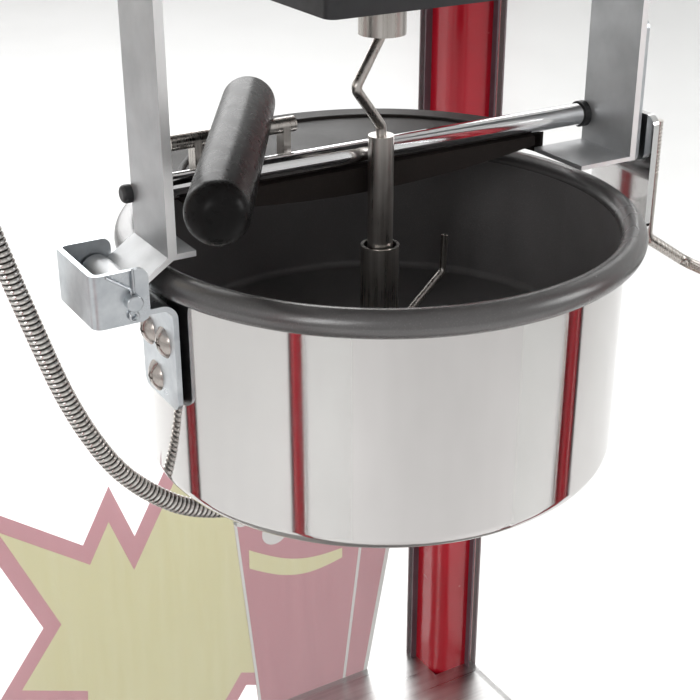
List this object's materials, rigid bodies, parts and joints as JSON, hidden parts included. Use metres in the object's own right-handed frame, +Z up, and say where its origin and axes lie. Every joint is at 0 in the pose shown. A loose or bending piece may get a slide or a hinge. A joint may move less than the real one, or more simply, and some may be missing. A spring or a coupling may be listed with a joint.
{
  "type": "popcorn cart",
  "caption": "Wheeled popcorn cart: glass cabinet with a hanging, tipping kettle and driven stirrer, on a storage box with a drawer.",
  "frame": {"origin": "on the floor under the middle of the whole cart as it stands with its glass doors open", "axes": "+Z up, -Y towards the operator, +Y towards the customer, +X towards the wheels"},
  "size_m": [0.68, 0.6054, 1.484],
  "materials": {
    "red_paint": "glossy",
    "red_post": "deep gloss",
    "white_paint": "semi-gloss",
    "steel_sheet": "brushed",
    "galvanised": "satin",
    "zinc": "zinc-plated, bright",
    "steel_rod": "turned",
    "polished_shell": "mirror",
    "polished_bracket": "polished",
    "chrome": "bright",
    "pot_coating": "non-stick, satin speckled",
    "rim_coating": "non-stick, satin",
    "lid_coating": "semi-gloss brown-black",
    "cast_aluminium": "matt, sawn ends",
    "motor_paint": "satin",
    "black_grip": "polished phenolic",
    "black_plastic": "satin",
    "rubber": "matt",
    "tyre": "matt",
    "pane_glass": "clear, printed on the customer side",
    "door_glass": "clear, printed",
    "bulb": "frosted",
    "armour": "interlocked strip",
    "sign": "lit panel with stripes",
    "rocker": "glossy",
    "wheel_paint": "glossy"
  },
  "bodies": {
    "cart": {"cart_box": "red_paint", "cart_hinge_leaves": "chrome", "worktop": "steel_sheet", "rubber_feet": "rubber", "undercarriage": "red_paint", "axle": "zinc", "push_handle": "chrome", "handle_grip": "black_plastic", "base_box": "red_paint", "deck_plate": "steel_sheet", "corner_posts": "red_post", "cabinet_panes": "pane_glass", "pane_gaskets": "black_plastic", "door_pivots": "chrome", "ceiling_plate": "steel_sheet", "sign_panel": "sign", "roof_shell": "red_paint", "switch_bezels": "black_plastic", "ceiling_sockets": "black_plastic", "lamp_bulb": "bulb", "left_hanger": "cast_aluminium", "right_hanger": "cast_aluminium", "catch_plate": "zinc", "bar_spacer": "black_plastic", "drive_motor": "motor_paint"},
    "kettle": {"kettle_shell": "polished_shell", "kettle_rim": "rim_coating", "kettle_pot": "pot_coating", "heater": "cast_aluminium", "kettle_base": "galvanised", "left_bracket": "zinc", "clevis_pin": "zinc", "right_bracket": "polished_bracket", "tilt_rod": "steel_rod", "tilt_grip": "black_grip", "bracket_screws": "chrome", "cable_gland": "galvanised", "power_cable": "armour"},
    "stirrer": {"stir_sleeve": "steel_rod"},
    "drive": {"drive_shaft": "steel_rod"},
    "lid": {"lid_flap": "lid_coating", "lid_bar": "chrome", "lever_rod": "steel_rod", "lever_grip": "black_grip"},
    "glass_door_left": {"door_left_frame": "chrome", "door_left_glass": "door_glass"},
    "glass_door_right": {"door_right_frame": "chrome", "door_right_glass": "door_glass"},
    "drawer": {"crumb_drawer": "steel_sheet", "drawer_pull": "chrome"},
    "storage_door": {"cart_door": "red_paint", "cart_door_fittings": "chrome"},
    "switch_1": {"rocker_1": "rocker"},
    "switch_2": {"rocker_2": "rocker"},
    "switch_3": {"rocker_3": "rocker"},
    "wheel_set_operator": {"wheel_operator": "wheel_paint", "tyre_operator": "tyre"},
    "wheel_set_customer": {"wheel_customer": "wheel_paint", "tyre_customer": "tyre"}
  },
  "joints": [
    {"name": "kettle_tilt", "type": "hinge", "parent": "cart", "child": "kettle", "pos_m": [-0.043, 0.04875, 1.181], "axis": [0, 1, 0], "range_deg": [0, 92], "deforming": ["power_cable"]},
    {"name": "shaft_spin", "type": "hinge", "parent": "cart", "child": "drive", "pos_m": [0.071, 0.05375, 1.187], "axis": [0, 0, 1], "continuous": true},
    {"name": "stirrer_spin", "type": "hinge", "parent": "kettle", "child": "stirrer", "pos_m": [0.071, 0.05375, 1.147], "axis": [0, 0, 1], "continuous": true},
    {"name": "lid_flap_hinge", "type": "hinge", "parent": "cart", "child": "lid", "pos_m": [0.071, 0.06475, 1.207], "axis": [1, 0, 0], "range_deg": [0, 20]},
    {"name": "glass_door_left_hinge", "type": "hinge", "parent": "cart", "child": "glass_door_left", "pos_m": [-0.208, -0.10325, 1.07], "axis": [0, 0, 1], "range_deg": [0, 105]},
    {"name": "glass_door_right_hinge", "type": "hinge", "parent": "cart", "child": "glass_door_right", "pos_m": [0.208, -0.10325, 1.07], "axis": [0, 0, -1], "range_deg": [0, 105]},
    {"name": "crumb_drawer_slide", "type": "slide", "parent": "cart", "child": "drawer", "axis": [0, -1, 0], "range_m": [0, 0.24]},
    {"name": "storage_door_hinge", "type": "hinge", "parent": "cart", "child": "storage_door", "pos_m": [-0.233, -0.11225, 0.544], "axis": [0, 0, -1], "range_deg": [0, 110]},
    {"name": "switch_1_rock", "type": "hinge", "parent": "cart", "child": "switch_1", "pos_m": [0.09, -0.11425, 1.4095], "axis": [1, 0, 0], "range_deg": [-10, 0]},
    {"name": "switch_2_rock", "type": "hinge", "parent": "cart", "child": "switch_2", "pos_m": [0.135, -0.11425, 1.4095], "axis": [1, 0, 0], "range_deg": [-10, 0]},
    {"name": "switch_3_rock", "type": "hinge", "parent": "cart", "child": "switch_3", "pos_m": [0.18, -0.11425, 1.4095], "axis": [1, 0, 0], "range_deg": [-10, 0]},
    {"name": "wheel_operator_spin", "type": "hinge", "parent": "cart", "child": "wheel_set_operator", "pos_m": [0.14, -0.14025, 0.2], "axis": [0, 1, 0], "continuous": true},
    {"name": "wheel_customer_spin", "type": "hinge", "parent": "cart", "child": "wheel_set_customer", "pos_m": [0.14, 0.26975, 0.2], "axis": [0, 1, 0], "continuous": true}
  ],
  "couplings": [
    {"joint": "stirrer_spin", "follows": "shaft_spin", "ratio": 1}
  ]
}
